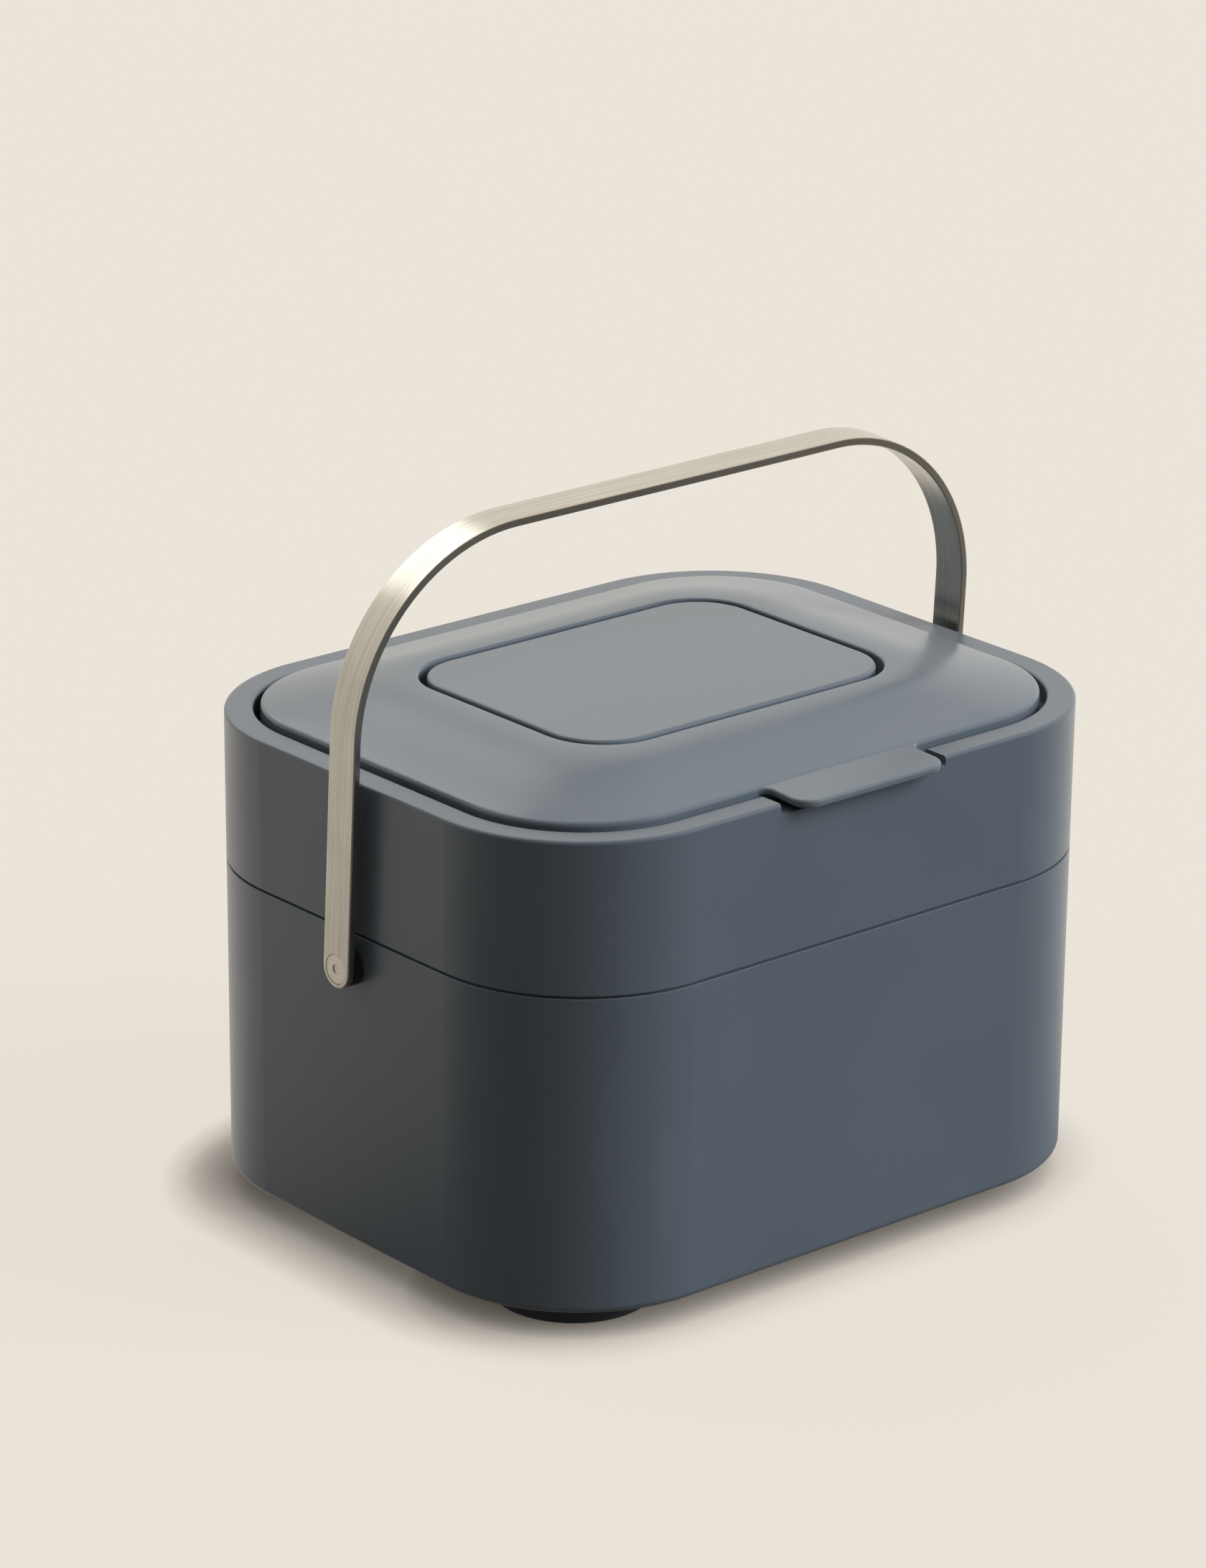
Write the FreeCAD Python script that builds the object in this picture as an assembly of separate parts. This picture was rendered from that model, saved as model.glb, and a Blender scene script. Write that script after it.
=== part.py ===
# Counter-top food waste caddy: bucket, lift-off rim ring, crowned lid with a filter, strap handle.
# Millimetres, +Z up. The front, with the finger tab, faces -Y.
# Origin: the middle of the bucket's plan, on the surface that the feet stand on.
import FreeCAD, Part
import math
import os
from FreeCAD import Vector

# Outline that the bucket, the rim ring and the lid share
WIDTH = 235.0
DEPTH = 192.0
CORNER_RADIUS = 52.0

# Bucket
BUCKET_HEIGHT = 100.3
WALL = 2.5
FLOOR_THICKNESS = 3.0
BASE_INSET = 0.5
RIM_INSET = 0.2
BOTTOM_ROUNDING = 2.5
INSIDE_ROUNDING = 6.0
SHADOW_GAP = 1.0
SHADOW_DEPTH = 1.2

# Feet
FOOT_HEIGHT = 8.0
FOOT_RADIUS = 26.0
FOOT_TAPER = 1.0
FOOT_ROUNDING = 2.0
FOOT_FROM_WALL = 40.6
FOOT_POCKET = 1.0

# Rim ring
RING_HEIGHT = 47.6
LAND = 9.0
LAND_THICKNESS = 2.5
OUTER_EDGE_ROUNDING = 1.2
INNER_EDGE_ROUNDING = 1.0
RING_SKIRT = 2.2
LEDGE_DEPTH = 6.0
LEDGE_WIDTH = 5.5
LEDGE_THICKNESS = 2.0
SHOULDER_HEIGHT = 3.0
TONGUE_DEPTH = 5.0
TONGUE_THICKNESS = 1.6

# Lid
LID_GAP = 2.1
LID_WALL = 2.4
LID_SKIRT = 2.2
LID_EDGE_RISE = 1.5
LID_EDGE_ROUNDING = 1.5
CROWN_RISE = 7.7
CROWN_EASE = 0.35
EASE_SECTIONS = 4
PLATEAU_MARGIN = 3.0
REAR_EDGE_DEPTH = 1.4

# Finger tab and its notch in the rim ring
TAB_WIDTH = 58.0
TAB_REACH = 6.2
TAB_THICKNESS = 2.6
TAB_CORNER = 6.5
TAB_FILLET = 4.0
TAB_EDGE_ROUNDING = 1.0
TAB_DIP = 2.4
NOTCH_MARGIN = 4.0
NOTCH_CLEARANCE = 1.6
NOTCH_ROUNDING = 1.5

# Filter well, cover and pad
COVER_FROM_SIDE = 45.0
COVER_FROM_FRONT = 39.3
COVER_CORNER = 18.5
COVER_THICKNESS = 2.4
COVER_ROUNDING = 1.2
COVER_SKIRT = 1.6
COVER_SKIRT_INSET = 3.0
VENT_GAP = 2.4
WELL_ROUNDING = 1.0
WELL_WALL = 2.0
AIR_ROOM = 1.8
WELL_FLOOR = 1.8
SLOT_COUNT = 9
SLOT_WIDTH = 4.0
SLOT_LENGTH = 56.0
SLOT_PITCH = 10.5
AIR_NOTCH_WIDTH = 24.0
AIR_NOTCH_HEIGHT = 4.0
PAD_THICKNESS = 6.0
PAD_MARGIN = 0.6

# Lid hinge
HINGE_FROM_EDGE = 6.9
HINGE_DROP = 1.0
HINGE_SPACING = 100.0
PIN_RADIUS = 1.25
EYE_RADIUS = 2.8
EAR_THICKNESS = 6.0
LUG_THICKNESS = 4.0
ARM_DEPTH = 5.0
ARM_CLEARANCE = 1.1
POST_THICKNESS = 3.8

# Strap handle and its pivots
HAND_ROOM = 61.6
HANDLE_BEND = 59.2
HANDLE_LEAN = 3.0
STRAP_WIDTH = 12.0
STRAP_THICKNESS = 2.5
STRAP_ROUNDING = 0.5
PIVOT_DROP = 10.2
SHANK_RADIUS = 2.5
CAP_RADIUS = 4.5
CAP_THICKNESS = 1.2
CAP_DIMPLE_RADIUS = 1.5
CAP_DIMPLE_DEPTH = 0.3
CAP_SET_BACK = 0.1
SPACER_RADIUS = 6.0
SPACER_LENGTH = 3.2
WASHER_RADIUS = 5.5
WASHER_THICKNESS = 1.0
CLINCH_RADIUS = 3.75
CLINCH_THICKNESS = 1.2

# Clearances
SLIDE_CLEARANCE = 0.3
RUNNING_CLEARANCE = 0.05
SEAT_CLEARANCE = 0.05
SIDE_CLEARANCE = 0.35
STRAP_CLEARANCE = 0.15
# How far a cutting shape reaches past the faces that it cuts
OVERSHOOT = 1.0
# Distances below this count as nothing
TINY = 1e-6

# Heights and places that follow from the sizes above
BUCKET_TOP = FOOT_HEIGHT + BUCKET_HEIGHT
RING_BOTTOM = BUCKET_TOP + SHADOW_GAP
RING_TOP = RING_BOTTOM + RING_HEIGHT
LID_INSET = LAND + LID_GAP
LID_EDGE = RING_TOP + LID_EDGE_RISE
LID_TOP = LID_EDGE + CROWN_RISE
LID_BOTTOM = RING_TOP - LEDGE_DEPTH + SLIDE_CLEARANCE
WELL_TOP = LID_TOP - COVER_THICKNESS - AIR_ROOM - PAD_THICKNESS
PIVOT_Z = BUCKET_TOP - PIVOT_DROP
HINGE_Y = DEPTH / 2 - LID_INSET - HINGE_FROM_EDGE
HINGE_Z = RING_TOP - HINGE_DROP
UP = Vector(0, 0, 1)
ALONG_X = Vector(1, 0, 0)
BODY = (WIDTH / 2, DEPTH / 2, CORNER_RADIUS)
COVER = (WIDTH / 2 - LID_INSET - COVER_FROM_SIDE, DEPTH / 2 - LID_INSET - COVER_FROM_FRONT, COVER_CORNER)
WELL = tuple(size + VENT_GAP for size in COVER)
PLATEAU = tuple(size + PLATEAU_MARGIN for size in WELL)


def fuse(solids):
    """One solid from solids that touch or overlap, with the seams inside flat faces removed."""
    return solids[0].multiFuse(solids[1:]).removeSplitter()


def section(corners):
    """Closed face in the XZ plane from (x, z) or (x, z, rounding) corners; a rounding is a tangent arc."""
    points = [Vector(corner[0], 0, corner[1]) for corner in corners]
    starts = []
    arcs = []
    ends = []
    for i, point in enumerate(points):
        back = (points[i - 1] - point).normalize()
        ahead = (points[(i + 1) % len(points)] - point).normalize()
        rounding = corners[i][2] if len(corners[i]) > 2 else 0.0
        half_angle = back.getAngle(ahead) / 2
        trim = rounding / math.tan(half_angle)
        middle = point
        if rounding:
            middle = point + (back + ahead).normalize() * (rounding / math.sin(half_angle) - rounding)
        starts.append(point + back * trim)
        arcs.append(middle)
        ends.append(point + ahead * trim)
    edges = []
    for i in range(len(points)):
        following = starts[(i + 1) % len(points)]
        if starts[i].distanceToPoint(ends[i]) > TINY:
            edges.append(Part.Arc(starts[i], arcs[i], ends[i]).toShape())
        if ends[i].distanceToPoint(following) > TINY:
            edges.append(Part.LineSegment(ends[i], following).toShape())
    return Part.Face(Part.Wire(edges))


def carry_round(outline, corners):
    """A section of (inset, z, rounding) corners carried round a rounded rectangle.

    Each corner of the outline turns the section a quarter about the corner's centre,
    and each side draws it straight on to the next corner.
    """
    half_x, half_y, radius = outline
    face = section([(radius - corner[0],) + tuple(corner[1:]) for corner in corners])
    reach_x = half_x - radius
    reach_y = half_y - radius
    centres = [Vector(reach_x, reach_y), Vector(-reach_x, reach_y),
               Vector(-reach_x, -reach_y), Vector(reach_x, -reach_y)]
    solids = []
    for k, centre in enumerate(centres):
        turned = face.rotated(Vector(), UP, 90 * k).translated(centre)
        solids.append(turned.revolve(centre, UP, 90))
        onward = face.rotated(Vector(), UP, 90 * (k + 1)).translated(centre)
        solids.append(onward.extrude(centres[(k + 1) % 4] - centre))
    return fuse(solids)


def plan(corners, low, high):
    """A plate from (x, y, rounding) corners seen from above."""
    face = section(corners).rotated(Vector(), ALONG_X, -90)
    return face.translated(UP * low).extrude(UP * (high - low))


def plate(outline, inset, low, high):
    """A plate with a rounded rectangle's outline drawn in by an inset."""
    half_x, half_y, radius = (size - inset for size in outline)
    return plan([(half_x, half_y, radius), (-half_x, half_y, radius),
                 (-half_x, -half_y, radius), (half_x, -half_y, radius)], low, high)


def block(x0, x1, y0, y1, z0, z1):
    """A box between two opposite corners."""
    return Part.makeBox(x1 - x0, y1 - y0, z1 - z0, Vector(x0, y0, z0))


def rod(radius, x0, x1, y, z):
    """A cylinder along X."""
    return Part.makeCylinder(radius, x1 - x0, Vector(x0, y, z), ALONG_X)


def side_plate(corners, x0, x1):
    """A plate of even thickness along X from (y, z, rounding) corners."""
    face = section(corners).rotated(Vector(), UP, 90)
    return face.translated(ALONG_X * x0).extrude(ALONG_X * (x1 - x0))


def mirrored(shape):
    """The same piece on the other side of the caddy."""
    return shape.mirror(Vector(), ALONG_X)


def wall_inset(z):
    """How far the drafted bucket wall stands inside the outline at a height."""
    return BASE_INSET + (RIM_INSET - BASE_INSET) * (z - FOOT_HEIGHT) / BUCKET_HEIGHT


def strap_faces():
    """Distances of the strap's inner and outer faces from the middle plane, set by the spacers."""
    wall = WIDTH / 2 - wall_inset(PIVOT_Z)
    inner = wall + SEAT_CLEARANCE + SPACER_LENGTH + STRAP_CLEARANCE
    return inner, inner + STRAP_THICKNESS


def crown_height(way):
    """Height of the lid's crown, a share of the way from its edge to the plateau.

    The slope is straight and eases into the flat plateau over the last share of the way.
    """
    steepness = CROWN_RISE / (1 - CROWN_EASE / 2)
    eased = max(0.0, way - (1 - CROWN_EASE))
    return LID_EDGE + steepness * (way - eased ** 2 / (2 * CROWN_EASE))


def rear_crown(inset):
    """Height of the middle of the lid's wall on the rear slope, an inset from the lid's edge."""
    return crown_height(inset / (DEPTH / 2 - LID_INSET - PLATEAU[1])) - LID_WALL / 2


def make_crown(drop):
    """Solid under the lid's crown lowered by a drop: a loft from the edge's outline to the plateau's."""
    edge = tuple(size - LID_INSET for size in BODY)
    straight = 1 - CROWN_EASE
    eased = [straight + CROWN_EASE * k / EASE_SECTIONS for k in range(EASE_SECTIONS + 1)]
    wires = []
    for way in [0.0, straight / 2] + eased:
        half_x, half_y, radius = (start + way * (end - start) for start, end in zip(edge, PLATEAU))
        face = section([(half_x, half_y, radius), (-half_x, half_y, radius),
                        (-half_x, -half_y, radius), (half_x, -half_y, radius)])
        face = face.rotated(Vector(), ALONG_X, -90).translated(UP * (crown_height(way) - drop))
        wires.append(face.OuterWire)
    mound = Part.makeLoft(wires, True)
    return mound.fuse(plate(BODY, LID_INSET, LID_BOTTOM, LID_EDGE - drop))


def foot_places():
    """Names and centres of the four feet."""
    reach_x = WIDTH / 2 - FOOT_FROM_WALL
    reach_y = DEPTH / 2 - FOOT_FROM_WALL
    return {"foot_front_left": Vector(-reach_x, -reach_y), "foot_front_right": Vector(reach_x, -reach_y),
            "foot_rear_left": Vector(-reach_x, reach_y), "foot_rear_right": Vector(reach_x, reach_y)}


def make_bucket():
    """Drafted shell with a stepped rim, whose outer step leaves the shadow line under the ring."""
    floor_top = FOOT_HEIGHT + FLOOR_THICKNESS
    floor_edge = BASE_INSET + WALL + 2 * INSIDE_ROUNDING
    shell = carry_round(BODY, [
        (floor_edge, FOOT_HEIGHT),
        (BASE_INSET, FOOT_HEIGHT, BOTTOM_ROUNDING),
        (RIM_INSET, BUCKET_TOP, SHADOW_DEPTH / 4),
        (RIM_INSET + SHADOW_DEPTH, BUCKET_TOP),
        (RIM_INSET + SHADOW_DEPTH, RING_BOTTOM),
        (RIM_INSET + WALL, RING_BOTTOM),
        (BASE_INSET + WALL, floor_top, INSIDE_ROUNDING),
        (floor_edge, floor_top)])
    bucket = fuse([shell, plate(BODY, floor_edge, FOOT_HEIGHT, floor_top)])
    for centre in foot_places().values():
        pocket = Part.makeCylinder(FOOT_RADIUS + SEAT_CLEARANCE, FOOT_POCKET, centre + UP * FOOT_HEIGHT)
        bucket = bucket.cut(pocket)
    bore = rod(SHANK_RADIUS + RUNNING_CLEARANCE, -WIDTH, WIDTH, 0, PIVOT_Z)
    return bucket.cut(bore)


def make_foot(centre):
    """Round non-slip pad with a tapered side and a rounded tread edge."""
    half = section([(0, 0), (FOOT_RADIUS - FOOT_TAPER, 0, FOOT_ROUNDING),
                    (FOOT_RADIUS, FOOT_HEIGHT), (FOOT_RADIUS, FOOT_HEIGHT + FOOT_POCKET),
                    (0, FOOT_HEIGHT + FOOT_POCKET)])
    return half.revolve(Vector(), UP, 360).translated(centre)


def make_hinge_arm(x):
    """Gooseneck on the ring's rear wall that reaches under the lid's edge and up to the pin."""
    root = DEPTH / 2 - WALL / 2
    post_rear = HINGE_Y - PIN_RADIUS
    post_front = post_rear - POST_THICKNESS
    bar_top = HINGE_Z - HINGE_FROM_EDGE - ARM_CLEARANCE
    arm = side_plate([
        (root, bar_top - ARM_DEPTH),
        (post_front, bar_top - ARM_DEPTH, ARM_DEPTH / 2),
        (post_front, HINGE_Z),
        (HINGE_Y, HINGE_Z + EYE_RADIUS),
        (HINGE_Y, HINGE_Z - EYE_RADIUS),
        (post_rear, HINGE_Z - EYE_RADIUS),
        (post_rear, bar_top, PIN_RADIUS),
        (root, bar_top)], x - EAR_THICKNESS / 2, x + EAR_THICKNESS / 2)
    eye = rod(EYE_RADIUS, x - EAR_THICKNESS / 2, x + EAR_THICKNESS / 2, HINGE_Y, HINGE_Z)
    return arm.fuse(eye)


def make_ring():
    """Hooked section: drafted outer wall, flat land, inner skirt with the lid's ledge, and a tongue."""
    ledge_top = RING_TOP - LEDGE_DEPTH
    ledge_low = ledge_top - LEDGE_THICKNESS
    under_land = RING_TOP - LAND_THICKNESS
    tongue_outer = RIM_INSET + WALL + SLIDE_CLEARANCE
    tongue_inner = tongue_outer + TONGUE_THICKNESS
    shoulder = RING_BOTTOM + SHOULDER_HEIGHT
    ring = carry_round(BODY, [
        (RIM_INSET, RING_BOTTOM),
        (0, RING_TOP, OUTER_EDGE_ROUNDING),
        (LAND, RING_TOP, INNER_EDGE_ROUNDING),
        (LAND, ledge_top),
        (LAND + LEDGE_WIDTH, ledge_top),
        (LAND + LEDGE_WIDTH, ledge_low),
        (LAND - RING_SKIRT, ledge_low),
        (LAND - RING_SKIRT, under_land),
        (WALL, under_land),
        (RIM_INSET + WALL, shoulder + TONGUE_THICKNESS),
        (tongue_inner, shoulder),
        (tongue_inner, RING_BOTTOM - TONGUE_DEPTH, TONGUE_THICKNESS / 3),
        (tongue_outer, RING_BOTTOM - TONGUE_DEPTH, TONGUE_THICKNESS / 3),
        (tongue_outer, RING_BOTTOM)])
    # The ledge stops short of the hinge, where the lid's rear edge turns down
    ledge_end = HINGE_Y - EYE_RADIUS - POST_THICKNESS
    cut_low = ledge_low - OVERSHOOT
    cut_high = ledge_top + OVERSHOOT
    behind = block(-WIDTH, WIDTH, ledge_end, DEPTH, cut_low, cut_high)
    ring = ring.cut(plate(BODY, LAND, cut_low, cut_high).common(behind))
    # The notch for the finger tab has a floor and cheeks that close the hollow under the land
    notch_half = TAB_WIDTH / 2 + NOTCH_MARGIN
    tab_dip = (LID_INSET + TAB_REACH) * math.sin(math.radians(TAB_DIP))
    notch_floor = LID_EDGE - TAB_THICKNESS - tab_dip - NOTCH_CLEARANCE
    cheek = notch_half + WALL
    band = plate(BODY, WALL / 2, ledge_low, under_land + LAND_THICKNESS / 2)
    band = band.cut(plate(BODY, LAND - RING_SKIRT / 2, ledge_low, RING_TOP))
    ring = ring.fuse(band.common(block(-cheek, cheek, -DEPTH, 0, ledge_low, RING_TOP)))
    notch = section([(-notch_half, notch_floor, NOTCH_ROUNDING), (notch_half, notch_floor, NOTCH_ROUNDING),
                     (notch_half, LID_TOP), (-notch_half, LID_TOP)])
    ring = ring.cut(notch.translated(Vector(0, -DEPTH, 0)).extrude(Vector(0, DEPTH / 2 + LID_INSET, 0)))
    arms = [make_hinge_arm(side * HINGE_SPACING / 2) for side in (-1, 1)]
    bore = rod(PIN_RADIUS + SEAT_CLEARANCE / 2, -WIDTH / 2, WIDTH / 2, HINGE_Y, HINGE_Z)
    return fuse([ring] + [arm.cut(bore) for arm in arms])


def make_tab():
    """Finger tab drawn out of the lid's front edge, with rounded corners, filleted roots and a slight dip."""
    edge = -(DEPTH / 2 - LID_INSET)
    tip = -(DEPTH / 2 + TAB_REACH)
    half = TAB_WIDTH / 2
    root = half + TAB_FILLET + TAB_EDGE_ROUNDING
    inside = edge + 2 * LID_SKIRT
    tab = plan([(-root, inside), (-root, edge), (-half, edge, TAB_FILLET), (-half, tip, TAB_CORNER),
                (half, tip, TAB_CORNER), (half, edge, TAB_FILLET), (root, edge), (root, inside)],
               LID_EDGE - TAB_THICKNESS, LID_EDGE)
    rim = [e for e in tab.Edges if e.BoundBox.ZLength < TINY and e.CenterOfMass.y < edge - TINY]
    tab = tab.makeFillet(TAB_EDGE_ROUNDING, rim)
    return tab.rotated(Vector(0, edge, LID_EDGE), ALONG_X, TAB_DIP)


def make_lug(x):
    """Hinge lug under the lid's rear slope, round about the pin."""
    front = HINGE_Y - EYE_RADIUS
    rear = HINGE_Y + EYE_RADIUS
    web = side_plate([(front, HINGE_Z), (rear, HINGE_Z),
                      (rear, rear_crown(HINGE_FROM_EDGE - EYE_RADIUS)),
                      (front, rear_crown(HINGE_FROM_EDGE + EYE_RADIUS))], x, x + LUG_THICKNESS)
    return web.fuse(rod(EYE_RADIUS, x, x + LUG_THICKNESS, HINGE_Y, HINGE_Z))


def make_well():
    """Filter well under the lid's opening: rounded mouth, walls and a slotted floor."""
    margin = 2 * WELL_ROUNDING + WELL_WALL / 2
    floor_edge = WELL[2] / 2
    wall = carry_round(WELL, [
        (-margin, LID_TOP), (0, LID_TOP, WELL_ROUNDING), (0, WELL_TOP), (floor_edge, WELL_TOP),
        (floor_edge, WELL_TOP - WELL_FLOOR), (-WELL_WALL, WELL_TOP - WELL_FLOOR, WELL_ROUNDING),
        (-WELL_WALL, LID_TOP - LID_WALL), (-margin, LID_TOP - LID_WALL)])
    floor = plate(WELL, floor_edge, WELL_TOP - WELL_FLOOR, WELL_TOP)
    well = fuse([wall, floor])
    half_w = SLOT_WIDTH / 2
    half_l = SLOT_LENGTH / 2
    for i in range(SLOT_COUNT):
        middle = (i - (SLOT_COUNT - 1) / 2) * SLOT_PITCH
        slot = plan([(middle - half_w, -half_l, half_w), (middle + half_w, -half_l, half_w),
                     (middle + half_w, half_l, half_w), (middle - half_w, half_l, half_w)],
                    WELL_TOP - WELL_FLOOR - OVERSHOOT, WELL_TOP + OVERSHOOT)
        well = well.cut(slot)
    return well, margin


def make_lid():
    """Crowned shell with a skirt, a plateau round the filter well, the finger tab and the hinge lugs."""
    shell = make_crown(0)
    rim = [e for e in shell.Edges if e.BoundBox.ZLength < TINY and abs(e.CenterOfMass.z - LID_EDGE) < TINY]
    shell = shell.makeFillet(LID_EDGE_ROUNDING, rim)
    room = plate(BODY, LID_INSET + LID_SKIRT, LID_BOTTOM, LID_TOP)
    shell = shell.cut(make_crown(LID_WALL).common(room))
    # At the rear only a short edge is left, which turns down past the ring as the lid opens
    rear = HINGE_Y - EYE_RADIUS - POST_THICKNESS - SLIDE_CLEARANCE
    shell = shell.cut(block(-WIDTH, WIDTH, rear, DEPTH, LID_BOTTOM - OVERSHOOT, RING_TOP - REAR_EDGE_DEPTH))
    well, margin = make_well()
    top = shell.cut(plate(WELL, -margin, LID_TOP - LID_WALL - OVERSHOOT, LID_TOP + OVERSHOOT))
    # Over each hinge arm the lid is hollowed round the pin, and a lug stands on either side
    ear_half = EAR_THICKNESS / 2 + SIDE_CLEARANCE
    lugs = []
    for middle in (-HINGE_SPACING / 2, HINGE_SPACING / 2):
        hollow = rod(EYE_RADIUS + SLIDE_CLEARANCE, middle - ear_half, middle + ear_half, HINGE_Y, HINGE_Z)
        top = top.cut(hollow)
        lugs.append(make_lug(middle + ear_half))
        lugs.append(make_lug(middle - ear_half - LUG_THICKNESS))
    bore = rod(PIN_RADIUS + RUNNING_CLEARANCE, -WIDTH / 2, WIDTH / 2, HINGE_Y, HINGE_Z)
    return fuse([top, well, make_tab()] + [lug.cut(bore) for lug in lugs])


def make_filter_cover():
    """Flat cover with a rounded edge; its notched skirt stands on the well's floor and lets the air out."""
    skirt_out = COVER_SKIRT_INSET
    skirt_in = COVER_SKIRT_INSET + COVER_SKIRT
    under = LID_TOP - COVER_THICKNESS
    foot = WELL_TOP + SEAT_CLEARANCE
    core = (skirt_in + COVER_CORNER) / 2
    edge = carry_round(COVER, [
        (0, under), (0, LID_TOP, COVER_ROUNDING), (core, LID_TOP), (core, under),
        (skirt_in, under), (skirt_in, foot), (skirt_out, foot), (skirt_out, under)])
    cover = fuse([edge, plate(COVER, core, under, LID_TOP)])
    half = AIR_NOTCH_WIDTH / 2
    across_x = block(-WIDTH, WIDTH, -half, half, foot - OVERSHOOT, foot + AIR_NOTCH_HEIGHT)
    across_y = block(-half, half, -DEPTH, DEPTH, foot - OVERSHOOT, foot + AIR_NOTCH_HEIGHT)
    return cover.cut(across_x).cut(across_y)


def make_filter_pad():
    """Felt pad inside the cover's skirt, on the well's floor, with softened edges."""
    inset = COVER_SKIRT_INSET + COVER_SKIRT + PAD_MARGIN
    low = WELL_TOP + SEAT_CLEARANCE
    rounding = PAD_THICKNESS / 4
    core = (inset + COVER_CORNER) / 2
    edge = carry_round(COVER, [(inset, low, rounding), (inset, low + PAD_THICKNESS, rounding),
                               (core, low + PAD_THICKNESS), (core, low)])
    return fuse([edge, plate(COVER, core, low, low + PAD_THICKNESS)])


def make_hinge_pin(side):
    """Straight steel pin through one hinge arm and the lid's two lugs beside it."""
    half = EAR_THICKNESS / 2 + SIDE_CLEARANCE + LUG_THICKNESS
    middle = side * HINGE_SPACING / 2
    return rod(PIN_RADIUS, middle - half, middle + half, HINGE_Y, HINGE_Z)


def make_handle():
    """Flat strap bent to a bail, with round ends, pivot holes and seats for the rivet caps."""
    inner, outer = strap_faces()
    half = STRAP_WIDTH / 2
    bend_x = outer - HANDLE_BEND
    bend_z = LID_TOP + HAND_ROOM + STRAP_THICKNESS - HANDLE_BEND
    # The strap's section lies in the XY plane of an arm: thickness along X, width along Y
    strap = section([(inner, -half, STRAP_ROUNDING), (outer, -half, STRAP_ROUNDING),
                     (outer, half, STRAP_ROUNDING), (inner, half, STRAP_ROUNDING)])
    strap = strap.rotated(Vector(), ALONG_X, -90)
    bend = Vector(bend_x, 0, bend_z)
    arm = strap.translated(UP * PIVOT_Z).extrude(UP * (bend_z - PIVOT_Z))
    corner = strap.translated(UP * bend_z).revolve(bend, Vector(0, -1, 0), 90)
    crossing = strap.translated(UP * bend_z).rotated(bend, Vector(0, -1, 0), 90)
    bar = crossing.extrude(ALONG_X * (-2 * bend_x))
    # A half turn of the section's half about the pivot makes the round end
    half_strap = section([(inner, 0), (outer, 0),
                          (outer, half, STRAP_ROUNDING), (inner, half, STRAP_ROUNDING)])
    half_strap = half_strap.rotated(Vector(), ALONG_X, -90).translated(UP * PIVOT_Z)
    end = half_strap.revolve(Vector(0, 0, PIVOT_Z), ALONG_X, -180)
    seat_floor = outer - CAP_SET_BACK - CAP_THICKNESS - RUNNING_CLEARANCE
    limb = fuse([arm, corner, end]).cut(rod(CAP_RADIUS + STRAP_CLEARANCE, seat_floor, WIDTH, 0, PIVOT_Z))
    bail = fuse([limb, bar, mirrored(limb)])
    bail = bail.cut(rod(SHANK_RADIUS + RUNNING_CLEARANCE, -WIDTH, WIDTH, 0, PIVOT_Z))
    return bail.rotated(Vector(0, 0, PIVOT_Z), ALONG_X, HANDLE_LEAN)


def make_pivot():
    """Right-hand rivet, spacer and washer; the left-hand ones are their mirror images."""
    strap_inner, strap_outer = strap_faces()
    wall_out = WIDTH / 2 - wall_inset(PIVOT_Z)
    wall_in = wall_out - WALL
    cap_face = strap_outer - CAP_SET_BACK
    cap_back = cap_face - CAP_THICKNESS
    washer_face = wall_in - SEAT_CLEARANCE - WASHER_THICKNESS
    clinch_face = washer_face - SEAT_CLEARANCE
    rivet = fuse([rod(CAP_RADIUS, cap_back, cap_face, 0, PIVOT_Z),
                  rod(SHANK_RADIUS, clinch_face - CLINCH_THICKNESS, cap_back, 0, PIVOT_Z),
                  rod(CLINCH_RADIUS, clinch_face - CLINCH_THICKNESS, clinch_face, 0, PIVOT_Z)])
    rivet = rivet.cut(rod(CAP_DIMPLE_RADIUS, cap_face - CAP_DIMPLE_DEPTH, cap_face + OVERSHOOT, 0, PIVOT_Z))
    bore = rod(SHANK_RADIUS + RUNNING_CLEARANCE, 0, WIDTH, 0, PIVOT_Z)
    spacer = rod(SPACER_RADIUS, wall_out + SEAT_CLEARANCE, strap_inner - STRAP_CLEARANCE, 0, PIVOT_Z)
    spacer = spacer.cut(bore)
    washer = rod(WASHER_RADIUS, washer_face, wall_in - SEAT_CLEARANCE, 0, PIVOT_Z).cut(bore)
    return {"rivet": rivet, "pivot_spacer": spacer, "rivet_washer": washer}


def main():
    """Builds every piece and writes one STEP file for each."""
    os.makedirs("parts", exist_ok=True)
    pieces = {"bucket": make_bucket(), "rim_ring": make_ring(), "lid": make_lid(),
              "filter_cover": make_filter_cover(), "filter_pad": make_filter_pad(),
              "hinge_pin_left": make_hinge_pin(-1), "hinge_pin_right": make_hinge_pin(1),
              "handle": make_handle()}
    for name, centre in foot_places().items():
        pieces[name] = make_foot(centre)
    for name, shape in make_pivot().items():
        pieces[name + "_right"] = shape
        pieces[name + "_left"] = mirrored(shape)
    for name, shape in pieces.items():
        solids = shape.Solids
        print(f"{name}: {len(solids)} solid, valid {shape.isValid()}, volume {shape.Volume:.1f}")
        body = solids[0] if len(solids) == 1 else shape
        body.exportStep(f"parts/{name}.step")


main()
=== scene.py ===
import math

import bpy
import numpy as np
from mathutils import Matrix, Vector


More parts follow.
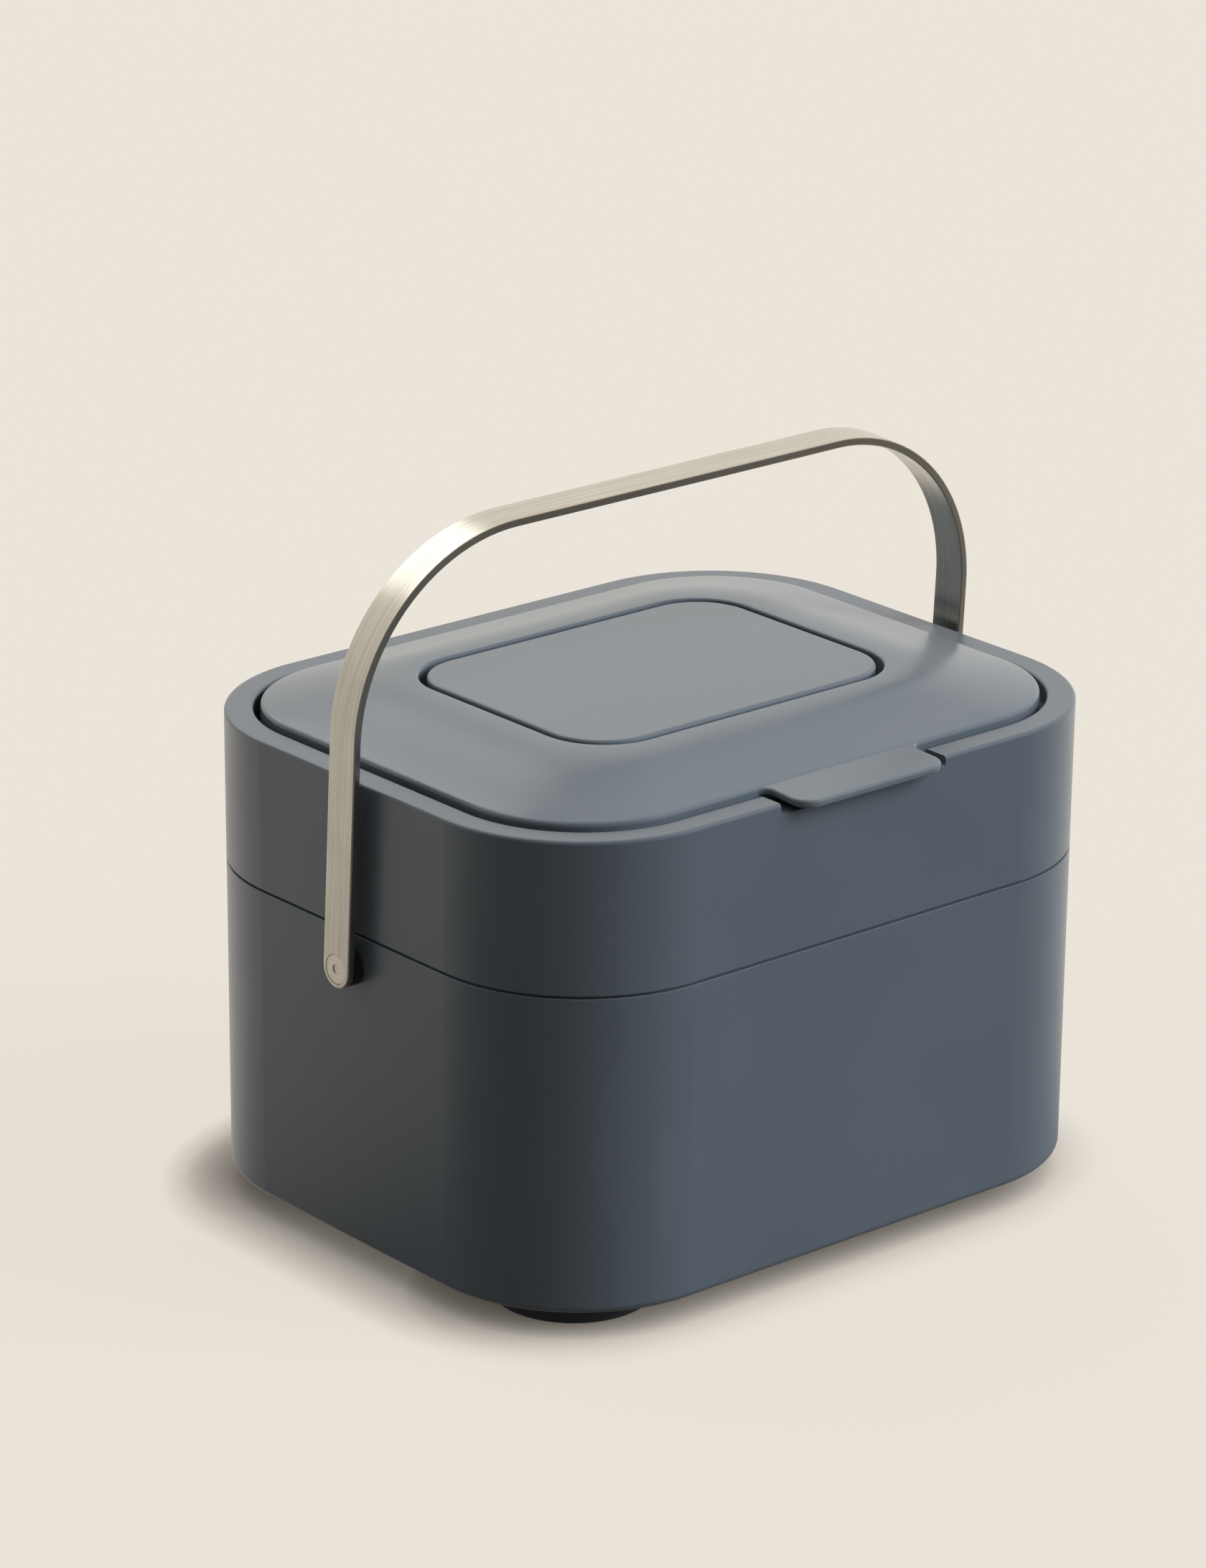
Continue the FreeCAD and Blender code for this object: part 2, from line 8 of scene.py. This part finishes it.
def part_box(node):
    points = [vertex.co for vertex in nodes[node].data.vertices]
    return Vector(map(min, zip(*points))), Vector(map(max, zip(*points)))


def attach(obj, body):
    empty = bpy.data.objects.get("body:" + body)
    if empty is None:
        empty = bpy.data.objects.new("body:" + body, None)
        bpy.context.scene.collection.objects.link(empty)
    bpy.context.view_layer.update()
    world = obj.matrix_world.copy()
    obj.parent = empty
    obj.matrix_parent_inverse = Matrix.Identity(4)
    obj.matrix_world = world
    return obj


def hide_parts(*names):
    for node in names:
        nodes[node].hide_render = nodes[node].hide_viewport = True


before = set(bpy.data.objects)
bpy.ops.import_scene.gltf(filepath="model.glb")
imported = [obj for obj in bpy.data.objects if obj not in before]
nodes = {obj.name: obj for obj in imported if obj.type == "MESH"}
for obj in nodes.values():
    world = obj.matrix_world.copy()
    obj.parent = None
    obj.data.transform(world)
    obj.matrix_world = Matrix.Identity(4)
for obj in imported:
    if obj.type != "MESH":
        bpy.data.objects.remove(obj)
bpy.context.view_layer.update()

MM = 0.001

# Camera: the photograph's perspective, fitted to the caddy's own edges
CAMERA_AZIMUTH = -40.534
CAMERA_ELEVATION = 19.876
CAMERA_ROLL = 0.524
CAMERA_DISTANCE = 1.8521
CLIP_NEAR = 0.05
CLIP_FAR = 50
AIM_ACROSS = -14.69 * MM
AIM_HEIGHT = 128.48 * MM
FOCAL_PIXELS = 8383.4
LONG_SIDE_PIXELS = 2184
SENSOR_MM = 36.0

# Stage: colours of the backdrop, the floor and the studio, and how much of the floor is lit
BACKDROP = "#EAE3D9"
LIT_FLOOR = "#C9C3BA"
SCATTERING_FLOOR = "#77736C"
STUDIO = "#F2ECE3"
FLOOR_SIZE = 12.0
LIT_SHARE = 0.1

# Contact shadow: the lean deepens it on the sides away from the right softbox
CONTACT_SHADE = "#3E382E"
CONTACT_REACH = 25 * MM
CONTACT_DEPTH = 2.0
CONTACT_LEAN = (0.3, -0.9, 0.0)
CONTACT_SAMPLES = 16

# Studio brightness: a bright level that fades to the dim one towards the dim side
DIM_SIDE = (-0.37, -0.85, -0.37)
DIM_LEVEL = 0.2
FLOOR_LEVEL = 1.25
FLOOR_FADE = (-0.6, 0.45)
STUDIO_LEVEL = 1.3
STUDIO_FADE = (-0.9, 0.5)

# Lamps: direction, strength, width in degrees, and whether gloss mirrors them
LAMPS = {
    "rear_top_softbox": ((0.05, 0.71, 0.70), 0.7, 42, True),
    "right_softbox": ((0.60, -0.64, 0.48), 4.5, 40, False),
}

# Sizes that the finishes follow: the handle's lean in degrees and the pitch of the turned rings
HANDLE_LEAN = 3.0
RING_PITCH = 0.35 * MM


def linear(hex_code):
    """An sRGB hex colour as linear RGBA."""
    srgb = np.array([int(hex_code[i:i + 2], 16) for i in (1, 3, 5)]) / 255
    rgb = np.where(srgb <= 0.04045, srgb / 12.92, ((srgb + 0.055) / 1.055) ** 2.4)
    return (*rgb.tolist(), 1.0)


def add(tree, kind, sockets=None, **settings):
    """A node with its settings.

    The sockets give each input a value, or the output socket that feeds it.
    """
    node = tree.nodes.new(kind)
    for name, value in settings.items():
        setattr(node, name, value)
    for key, value in (sockets or {}).items():
        if isinstance(value, bpy.types.NodeSocket):
            tree.links.new(value, node.inputs[key])
        else:
            node.inputs[key].default_value = value
    return node


def new_material(name):
    """An empty node material, its tree and the object coordinates in it."""
    material = bpy.data.materials.new(name)
    material.use_nodes = True
    tree = material.node_tree
    tree.nodes.clear()
    return material, tree, add(tree, "ShaderNodeTexCoord").outputs["Object"]


def finish_material(tree, shader):
    """Joins the last shader to the material's output."""
    output = add(tree, "ShaderNodeOutputMaterial")
    tree.links.new(shader.outputs[0], output.inputs["Surface"])


def satin_polypropylene(name, dark, light, roughness):
    """Polypropylene moulded in a finely eroded tool.

    To the eye: an even satin skin with a soft, wide reflection. The pigment drifts a little in
    slow flow marks, and a fine grain scatters the light.
    """
    material, tree, place = new_material(name)
    # Flow marks about 40 mm across
    flow = add(tree, "ShaderNodeTexNoise", {"Vector": place, "Scale": 1 / (40 * MM), "Detail": 1.0})
    colour = add(tree, "ShaderNodeMix", {
        "Factor": flow.outputs["Fac"], "A": linear(dark), "B": linear(light)}, data_type="RGBA")
    drift = 0.02
    rough = add(tree, "ShaderNodeMapRange", {
        "Value": flow.outputs["Fac"], "From Min": 0.1, "From Max": 0.9,
        "To Min": roughness - drift, "To Max": roughness + drift})
    # Eroded grain, drawn at 0.5 mm so that it shows at all; the real one is finer
    grain = add(tree, "ShaderNodeTexNoise", {
        "Vector": place, "Scale": 1 / (0.5 * MM), "Detail": 2.0})
    bump = add(tree, "ShaderNodeBump", {
        "Height": grain.outputs["Fac"], "Distance": 0.01 * MM, "Strength": 0.2})
    shader = add(tree, "ShaderNodeBsdfPrincipled", {
        "Base Color": colour.outputs["Result"], "Roughness": rough.outputs["Result"],
        "Normal": bump.outputs["Normal"], "IOR": 1.49})
    finish_material(tree, shader)
    return material


def brushed_stainless_strap(name, lean):
    """Stainless strip, brushed along its length before it was bent.

    To the eye: fine bright and dark lines that run along the strap, and reflections drawn out
    across it. The lines keep their place in the strap's width, which leans with the handle.
    """
    material, tree, place = new_material(name)
    # Lines from 1 mm to 0.25 mm apart across the width and about 60 mm long
    spacing, length = 1.0 * MM, 60 * MM
    upright = add(tree, "ShaderNodeVectorRotate", {
        "Vector": place, "Angle": math.radians(-lean)}, rotation_type="X_AXIS")
    drawn = add(tree, "ShaderNodeVectorMath", {
        0: upright.outputs["Vector"], 1: (1 / length, 1 / spacing, 1 / length)},
        operation="MULTIPLY")
    lines = add(tree, "ShaderNodeTexNoise", {
        "Vector": drawn.outputs["Vector"], "Scale": 1.0, "Detail": 2.0, "Roughness": 0.6})
    colour = add(tree, "ShaderNodeMix", {
        "Factor": lines.outputs["Fac"], "A": linear("#9C988E"), "B": linear("#D2CEC4")},
        data_type="RGBA")
    bump = add(tree, "ShaderNodeBump", {
        "Height": lines.outputs["Fac"], "Distance": 0.006 * MM, "Strength": 0.15})
    # Handling clouds about 18 mm across
    clouds = add(tree, "ShaderNodeTexNoise", {
        "Vector": place, "Scale": 1 / (18 * MM), "Detail": 2.0})
    rough = add(tree, "ShaderNodeMapRange", {
        "Value": clouds.outputs["Fac"], "From Min": 0.3, "From Max": 0.7,
        "To Min": 0.24, "To Max": 0.32})
    # The tangent runs along the strap, and a quarter turn draws the reflections out across it
    along = add(tree, "ShaderNodeTangent", direction_type="RADIAL", axis="Y")
    shader = add(tree, "ShaderNodeBsdfPrincipled", {
        "Base Color": colour.outputs["Result"], "Roughness": rough.outputs["Result"],
        "Normal": bump.outputs["Normal"], "Metallic": 1.0, "Anisotropic": 0.5,
        "Anisotropic Rotation": 0.25, "Tangent": along.outputs["Tangent"]})
    finish_material(tree, shader)
    return material


def turned_stainless(name, node, pitch):
    """Stainless turned on a lathe about the middle line, along X, of a node.

    To the eye: fine rings round the axis that catch the light as a fan.
    """
    material, tree, place = new_material(name)
    low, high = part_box(node)
    middle = (low + high) / 2
    centred = add(tree, "ShaderNodeMapping", {
        "Vector": place, "Location": (0, -middle.y, -middle.z), "Scale": (0, 1, 1)})
    radius = add(tree, "ShaderNodeVectorMath", {0: centred.outputs["Vector"]}, operation="LENGTH")
    turns = add(tree, "ShaderNodeMath", {
        0: radius.outputs["Value"], 1: 2 * math.pi / pitch}, operation="MULTIPLY")
    rings = add(tree, "ShaderNodeMath", {0: turns.outputs["Value"]}, operation="SINE")
    bump = add(tree, "ShaderNodeBump", {
        "Height": rings.outputs["Value"], "Distance": 0.01 * MM, "Strength": 0.4})
    # Stains about 2 mm across
    stain = add(tree, "ShaderNodeTexNoise", {"Vector": place, "Scale": 1 / (2 * MM), "Detail": 2.0})
    colour = add(tree, "ShaderNodeMix", {
        "Factor": stain.outputs["Fac"], "A": linear("#BDB9AF"), "B": linear("#D4D0C6")},
        data_type="RGBA")
    shader = add(tree, "ShaderNodeBsdfPrincipled", {
        "Base Color": colour.outputs["Result"], "Roughness": 0.42,
        "Normal": bump.outputs["Normal"], "Metallic": 1.0})
    finish_material(tree, shader)
    return material


def moulded_rubber(name):
    """Soft non-slip rubber, moulded with a matte skin.

    To the eye: dark slate, with hardly any reflection and a powdery mottle.
    """
    material, tree, place = new_material(name)
    # Mottle about 1.5 mm across
    mottle = add(tree, "ShaderNodeTexNoise", {
        "Vector": place, "Scale": 1 / (1.5 * MM), "Detail": 4.0})
    colour = add(tree, "ShaderNodeMix", {
        "Factor": mottle.outputs["Fac"], "A": linear("#2E3136"), "B": linear("#383C42")},
        data_type="RGBA")
    bump = add(tree, "ShaderNodeBump", {
        "Height": mottle.outputs["Fac"], "Distance": 0.03 * MM, "Strength": 0.4})
    shader = add(tree, "ShaderNodeBsdfPrincipled", {
        "Base Color": colour.outputs["Result"], "Roughness": 0.78,
        "Normal": bump.outputs["Normal"], "IOR": 1.52})
    finish_material(tree, shader)
    return material


def needled_carbon_felt(name):
    """Needled felt loaded with carbon.

    To the eye: charcoal grey, fibrous, without gloss, with paler stray fibres.
    """
    material, tree, place = new_material(name)
    # Fibres about 0.6 mm wide
    fibres = add(tree, "ShaderNodeTexNoise", {
        "Vector": place, "Scale": 1 / (0.6 * MM), "Detail": 5.0, "Roughness": 0.7,
        "Distortion": 1.5})
    colour = add(tree, "ShaderNodeValToRGB", {"Fac": fibres.outputs["Fac"]})
    carbon, stray = colour.color_ramp.elements
    carbon.position = 0.35
    carbon.color = linear("#17181A")
    stray.position = 0.75
    stray.color = linear("#4A4B4D")
    bump = add(tree, "ShaderNodeBump", {
        "Height": fibres.outputs["Fac"], "Distance": 0.3 * MM, "Strength": 0.8})
    shader = add(tree, "ShaderNodeBsdfPrincipled", {
        "Base Color": colour.outputs["Color"], "Roughness": 0.95,
        "Normal": bump.outputs["Normal"], "Sheen Weight": 0.3, "Sheen Roughness": 0.6})
    finish_material(tree, shader)
    return material


def make_felt_pad():
    """Felt pad of the filter, as a polar grid.

    A point is the middle plus r(t) times the outline at angle s, at height h(t). The outline is a
    superellipse of power 6; t runs from the top's middle over the edge to the bottom's middle.
    The height is half the thickness times (1 - r**5)**(1/5), and slow waves on both faces stand
    for the felt's uneven loft.
    """
    low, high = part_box("filter_pad")
    half = (high - low) / 2
    middle = (high + low) / 2
    around, across = 160, 61
    outline_power, edge_power = 6, 5
    loft_height, wave_x, wave_y = 0.15 * MM, 7 * MM, 6 * MM
    s = np.linspace(0, 2 * math.pi, around, endpoint=False)
    reach = (np.abs(np.cos(s)) ** outline_power
             + np.abs(np.sin(s)) ** outline_power) ** (-1 / outline_power)
    t = np.linspace(-1, 1, across)[1:-1]
    r = np.sin((1 - np.abs(t)) * math.pi / 2)
    h = np.sign(-t) * (1 - np.minimum(r, 1.0) ** edge_power) ** (1 / edge_power)
    x = middle.x + half.x * np.outer(r, reach * np.cos(s))
    y = middle.y + half.y * np.outer(r, reach * np.sin(s))
    loft = loft_height * np.sin(x / wave_x) * np.sin(y / wave_y) - loft_height
    z = middle.z + h[:, None] * (half.z + loft)
    rows = len(t)
    points = np.stack([x, y, z], axis=-1).reshape(-1, 3)
    top = np.array([[middle.x, middle.y, middle.z + half.z - loft_height]])
    bottom = np.array([[middle.x, middle.y, middle.z - half.z + loft_height]])
    points = np.concatenate([points, top, bottom])
    i, j = np.meshgrid(np.arange(rows - 1), np.arange(around), indexing="ij")
    k = (j + 1) % around
    quads = np.stack([i * around + j, (i + 1) * around + j,
                      (i + 1) * around + k, i * around + k], axis=-1)
    ring = np.arange(around)
    ahead = (ring + 1) % around
    last = (rows - 1) * around
    cap_top = np.stack([np.full(around, len(points) - 2), ring, ahead], axis=-1)
    cap_bottom = np.stack([np.full(around, len(points) - 1), last + ahead, last + ring], axis=-1)
    faces = quads.reshape(-1, 4).tolist() + cap_top.tolist() + cap_bottom.tolist()
    mesh = bpy.data.meshes.new("filter_felt_pad")
    mesh.from_pydata(points.tolist(), [], faces)
    mesh.polygons.foreach_set("use_smooth", np.ones(len(mesh.polygons), bool))
    mesh.update()
    pad = bpy.data.objects.new("filter_felt_pad", mesh)
    bpy.context.scene.collection.objects.link(pad)
    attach(pad, "lid")
    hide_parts("filter_pad")
    return pad


def dress(piece, material):
    """Gives a piece one material all over."""
    piece.data.materials.clear()
    piece.data.materials.append(material)


def make_camera():
    """Camera on the line that the photograph was taken along."""
    azimuth, elevation, roll = (
        math.radians(angle) for angle in (CAMERA_AZIMUTH, CAMERA_ELEVATION, CAMERA_ROLL))
    back = Vector((math.sin(azimuth) * math.cos(elevation),
                   -math.cos(azimuth) * math.cos(elevation),
                   math.sin(elevation)))
    right = Vector((math.cos(azimuth), math.sin(azimuth), 0))
    up = back.cross(right)
    aim = right * AIM_ACROSS + Vector((0, 0, AIM_HEIGHT))
    rolled_right = math.cos(roll) * right + math.sin(roll) * up
    rolled_up = -math.sin(roll) * right + math.cos(roll) * up
    data = bpy.data.cameras.new("camera")
    data.sensor_width = SENSOR_MM
    data.lens = FOCAL_PIXELS / LONG_SIDE_PIXELS * SENSOR_MM
    data.clip_start = CLIP_NEAR
    data.clip_end = CLIP_FAR
    camera = bpy.data.objects.new("camera", data)
    turn = Matrix((rolled_right, rolled_up, back)).transposed().to_4x4()
    camera.matrix_world = Matrix.Translation(aim + back * CAMERA_DISTANCE) @ turn
    bpy.context.scene.collection.objects.link(camera)
    bpy.context.scene.camera = camera


def make_sun(name, direction, strength, width, mirrored):
    """A distant soft white light from a direction, mirrored in gloss or not.

    Its width is the angle in degrees that it takes up.
    """
    data = bpy.data.lights.new(name, "SUN")
    data.energy = strength
    data.angle = math.radians(width)
    lamp = bpy.data.objects.new(name, data)
    lamp.rotation_euler = Vector(direction).to_track_quat("Z", "Y").to_euler()
    lamp.visible_glossy = mirrored
    bpy.context.scene.collection.objects.link(lamp)


def studio_level(tree, direction, fade, brightest):
    """Brightness of the studio in a direction, which fades towards the dim side."""
    facing = add(tree, "ShaderNodeVectorMath", {
        0: direction, 1: DIM_SIDE}, operation="DOT_PRODUCT")
    level = add(tree, "ShaderNodeMapRange", {
        "Value": facing.outputs["Value"], "From Min": fade[0], "From Max": fade[1],
        "To Min": brightest, "To Max": DIM_LEVEL}, interpolation_type="SMOOTHSTEP")
    return level.outputs["Result"]


def make_floor():
    """Plain pale floor that keeps the caddy's shadow.

    The camera sees an even colour, part of it lit and part of it only darkened close to the caddy.
    Reflections see the same colour, which fades towards the dim side of the studio. For scattered
    light the floor is darker, so that it throws little light up at the caddy.
    """
    half = FLOOR_SIZE / 2
    corners = [(-half, -half, 0), (half, -half, 0), (half, half, 0), (-half, half, 0)]
    mesh = bpy.data.meshes.new("floor")
    mesh.from_pydata(corners, [], [(0, 1, 2, 3)])
    floor = bpy.data.objects.new("floor", mesh)
    bpy.context.scene.collection.objects.link(floor)
    material, tree, place = new_material("painted_floor")
    upward = add(tree, "ShaderNodeNewGeometry").outputs["Normal"]
    leaned = add(tree, "ShaderNodeVectorMath", {0: upward, 1: CONTACT_LEAN}, operation="ADD")
    towards = add(tree, "ShaderNodeVectorMath", {
        0: leaned.outputs["Vector"]}, operation="NORMALIZE")
    contact = add(tree, "ShaderNodeAmbientOcclusion", {
        "Distance": CONTACT_REACH, "Normal": towards.outputs["Vector"]}, samples=CONTACT_SAMPLES)
    depth = add(tree, "ShaderNodeMath", {
        0: contact.outputs["AO"], 1: CONTACT_DEPTH}, operation="POWER")
    shade = add(tree, "ShaderNodeMix", {
        "Factor": depth.outputs["Value"], "A": linear(CONTACT_SHADE), "B": linear(BACKDROP)},
        data_type="RGBA")
    even = add(tree, "ShaderNodeEmission", {"Color": shade.outputs["Result"]})
    lit = add(tree, "ShaderNodeBsdfDiffuse", {"Color": linear(LIT_FLOOR)})
    seen = add(tree, "ShaderNodeMixShader", {0: LIT_SHARE, 1: even.outputs[0], 2: lit.outputs[0]})
    outward = add(tree, "ShaderNodeVectorMath", {0: place}, operation="NORMALIZE")
    level = studio_level(tree, outward.outputs["Vector"], FLOOR_FADE, FLOOR_LEVEL)
    mirrored = add(tree, "ShaderNodeEmission", {"Color": linear(BACKDROP), "Strength": level})
    scattered = add(tree, "ShaderNodeBsdfDiffuse", {"Color": linear(SCATTERING_FLOOR)})
    light = add(tree, "ShaderNodeLightPath")
    unseen = add(tree, "ShaderNodeMixShader", {
        0: light.outputs["Is Glossy Ray"], 1: scattered.outputs[0], 2: mirrored.outputs[0]})
    shader = add(tree, "ShaderNodeMixShader", {
        0: light.outputs["Is Camera Ray"], 1: unseen.outputs[0], 2: seen.outputs[0]})
    finish_material(tree, shader)
    dress(floor, material)


def make_world():
    """Soft studio surroundings: pale behind and above the caddy, dim towards the front and left.

    The camera itself sees the even backdrop colour beyond the floor's edge.
    """
    world = bpy.data.worlds.new("studio")
    bpy.context.scene.world = world
    world.use_nodes = True
    tree = world.node_tree
    tree.nodes.clear()
    towards = add(tree, "ShaderNodeTexCoord").outputs["Generated"]
    level = studio_level(tree, towards, STUDIO_FADE, STUDIO_LEVEL)
    studio = add(tree, "ShaderNodeBackground", {"Color": linear(STUDIO), "Strength": level})
    backdrop = add(tree, "ShaderNodeBackground", {"Color": linear(BACKDROP)})
    light = add(tree, "ShaderNodeLightPath")
    seen = add(tree, "ShaderNodeMixShader", {
        0: light.outputs["Is Camera Ray"], 1: studio.outputs[0], 2: backdrop.outputs[0]})
    output = add(tree, "ShaderNodeOutputWorld")
    tree.links.new(seen.outputs[0], output.inputs["Surface"])


# Finishes of the CAD nodes
body_plastic = satin_polypropylene("satin_polypropylene_body", "#48525C", "#4E5862", 0.33)
# The lid and the filter cover are the same plastic as the body. Their lighter colours are painted
# light, standing in for the light that falls on them from above.
lid_plastic_painted_lighter = satin_polypropylene("satin_polypropylene_lid_painted_lighter", "#505A64", "#566069", 0.29)
spacer_plastic = satin_polypropylene("satin_polypropylene_spacer", "#1E2023", "#26282B", 0.45)
strap_steel = brushed_stainless_strap("brushed_stainless_strap", HANDLE_LEAN)
rivet_steel = turned_stainless("turned_stainless_rivet", "rivet_left", RING_PITCH)
pin_steel = turned_stainless("turned_stainless_pin", "hinge_pin_left", RING_PITCH)
foot_rubber = moulded_rubber("moulded_rubber_foot")
felt = needled_carbon_felt("needled_carbon_felt")

finishes = {"bucket": body_plastic, "rim_ring": body_plastic, "lid": lid_plastic_painted_lighter,
            "filter_cover": lid_plastic_painted_lighter, "handle": strap_steel}
for side in ("left", "right"):
    finishes["rivet_" + side] = rivet_steel
    finishes["rivet_washer_" + side] = rivet_steel
    finishes["pivot_spacer_" + side] = spacer_plastic
    finishes["hinge_pin_" + side] = pin_steel
    finishes["foot_front_" + side] = foot_rubber
    finishes["foot_rear_" + side] = foot_rubber
for name, material in finishes.items():
    dress(nodes[name], material)
dress(make_felt_pad(), felt)

make_camera()
make_floor()
make_world()
for name, lamp in LAMPS.items():
    make_sun(name, *lamp)
bpy.context.scene.view_settings.view_transform = "Standard"
